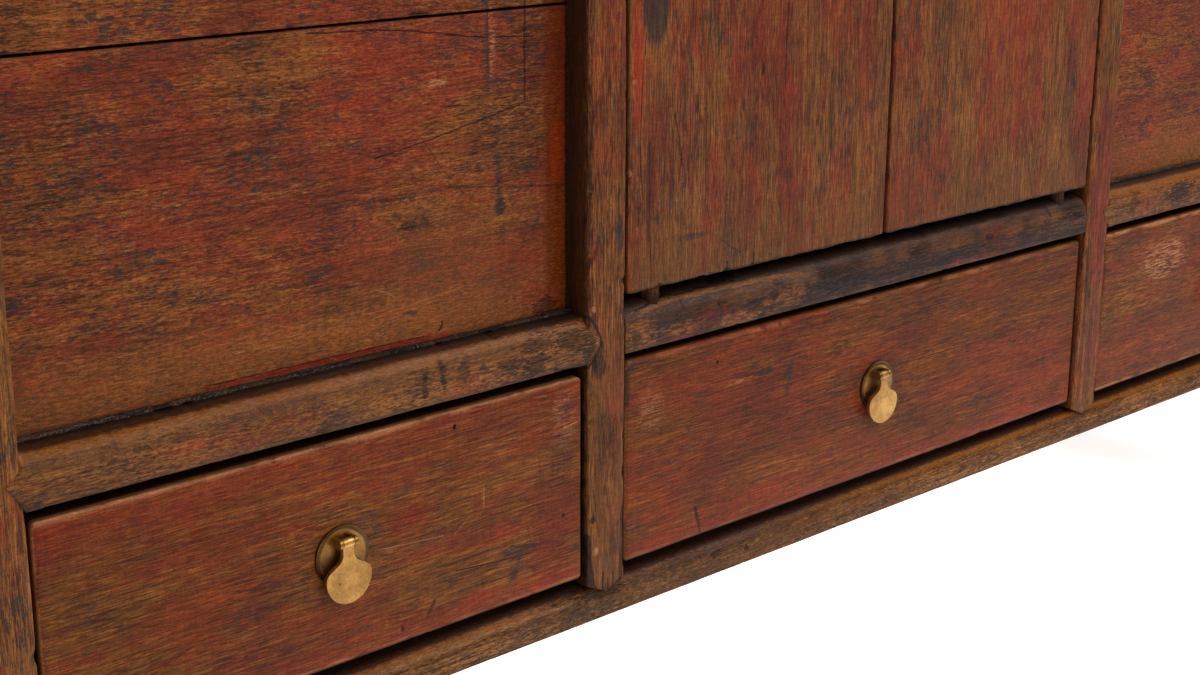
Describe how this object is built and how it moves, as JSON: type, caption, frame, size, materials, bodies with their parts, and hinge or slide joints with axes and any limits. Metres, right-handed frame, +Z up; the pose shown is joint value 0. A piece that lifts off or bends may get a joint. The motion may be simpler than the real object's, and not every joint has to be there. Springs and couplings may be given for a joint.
{
  "type": "wedding cabinet",
  "caption": "Large elm wedding cabinet with worn red lacquer: recessed side panels, pivot-hung doors between them, a row of inset drawers below and short straight legs.",
  "frame": {"origin": "on the floor, midway between the ends and between the front and back faces of the corner posts", "axes": "+Z up, the front faces -Y, +X is the right end as seen from the front"},
  "size_m": [1.576, 0.564, 1.6755],
  "materials": {
    "frame_lacquer": "worn varnish over elm with remains of red lacquer",
    "panel_lacquer": "worn red-brown lacquer over horizontal elm boards",
    "door_lacquer": "worn orange-brown lacquer over upright elm boards",
    "drawer_front_lacquer": "worn brick-red lacquer over elm",
    "bare_elm": "unfinished aged elm",
    "brass": "aged brass"
  },
  "bodies": {
    "cabinet": {"corner_post_front_left": "frame_lacquer", "corner_post_front_right": "frame_lacquer", "corner_post_back_left": "frame_lacquer", "corner_post_back_right": "frame_lacquer", "stile_left": "frame_lacquer", "stile_right": "frame_lacquer", "mid_rail_left": "frame_lacquer", "mid_rail_centre": "frame_lacquer", "mid_rail_right": "frame_lacquer", "bottom_rail_front": "frame_lacquer", "top_rail_front": "frame_lacquer", "joint_pegs": "bare_elm", "back_rail_bottom": "bare_elm", "back_rail_mid": "bare_elm", "back_rail_shelf": "bare_elm", "back_rail_top": "bare_elm", "back_boards": "bare_elm", "end_rails_left": "frame_lacquer", "end_rails_right": "frame_lacquer", "end_panel_left": "frame_lacquer", "end_panel_right": "frame_lacquer", "front_panel_left": "panel_lacquer", "front_panel_right": "panel_lacquer", "floor_boards": "bare_elm", "floor_bearers": "bare_elm", "shelf_boards": "bare_elm", "shelf_bearers": "bare_elm", "drawer_runners": "bare_elm", "drawer_guides": "bare_elm", "top_frame_front": "frame_lacquer", "top_frame_back": "frame_lacquer", "top_frame_ends": "frame_lacquer", "top_boards": "frame_lacquer"},
    "door_left": {"door_left_boards": "door_lacquer", "door_left_battens": "bare_elm", "door_left_pivots": "bare_elm", "door_left_plate": "brass"},
    "door_left_pull": {"door_left_pull": "brass"},
    "door_right": {"door_right_boards": "door_lacquer", "door_right_battens": "bare_elm", "door_right_pivots": "bare_elm", "door_right_plate": "brass"},
    "door_right_pull": {"door_right_pull": "brass"},
    "drawer_left": {"drawer_left_front": "drawer_front_lacquer", "drawer_left_box": "bare_elm", "drawer_left_bottom": "bare_elm", "drawer_left_plate": "brass"},
    "drawer_left_pull": {"drawer_left_pull": "brass"},
    "drawer_centre": {"drawer_centre_front": "drawer_front_lacquer", "drawer_centre_box": "bare_elm", "drawer_centre_bottom": "bare_elm", "drawer_centre_plate": "brass"},
    "drawer_centre_pull": {"drawer_centre_pull": "brass"},
    "drawer_right": {"drawer_right_front": "drawer_front_lacquer", "drawer_right_box": "bare_elm", "drawer_right_bottom": "bare_elm", "drawer_right_plate": "brass"},
    "drawer_right_pull": {"drawer_right_pull": "brass"}
  },
  "joints": [
    {"name": "door_left_hinge", "type": "hinge", "parent": "cabinet", "child": "door_left", "pos_m": [-0.247, -0.258, 0.3875], "axis": [0, 0, -1], "range_deg": [0, 115]},
    {"name": "door_left_pull_swing", "type": "hinge", "parent": "door_left", "child": "door_left_pull", "pos_m": [-0.046, -0.2754, 1.0205], "axis": [-1, 0, 0], "range_deg": [0, 100]},
    {"name": "door_right_hinge", "type": "hinge", "parent": "cabinet", "child": "door_right", "pos_m": [0.247, -0.258, 0.3875], "axis": [0, 0, 1], "range_deg": [0, 115]},
    {"name": "door_right_pull_swing", "type": "hinge", "parent": "door_right", "child": "door_right_pull", "pos_m": [0.046, -0.2754, 1.0205], "axis": [-1, 0, 0], "range_deg": [0, 100]},
    {"name": "drawer_left_slide", "type": "slide", "parent": "cabinet", "child": "drawer_left", "axis": [0, -1, 0], "range_m": [0, 0.3]},
    {"name": "drawer_left_pull_swing", "type": "hinge", "parent": "drawer_left", "child": "drawer_left_pull", "pos_m": [-0.521, -0.2734, 0.28], "axis": [-1, 0, 0], "range_deg": [0, 100]},
    {"name": "drawer_centre_slide", "type": "slide", "parent": "cabinet", "child": "drawer_centre", "axis": [0, -1, 0], "range_m": [0, 0.3]},
    {"name": "drawer_centre_pull_swing", "type": "hinge", "parent": "drawer_centre", "child": "drawer_centre_pull", "pos_m": [0, -0.2734, 0.28075], "axis": [-1, 0, 0], "range_deg": [0, 100]},
    {"name": "drawer_right_slide", "type": "slide", "parent": "cabinet", "child": "drawer_right", "axis": [0, -1, 0], "range_m": [0, 0.3]},
    {"name": "drawer_right_pull_swing", "type": "hinge", "parent": "drawer_right", "child": "drawer_right_pull", "pos_m": [0.521, -0.2734, 0.28], "axis": [-1, 0, 0], "range_deg": [0, 100]}
  ]
}
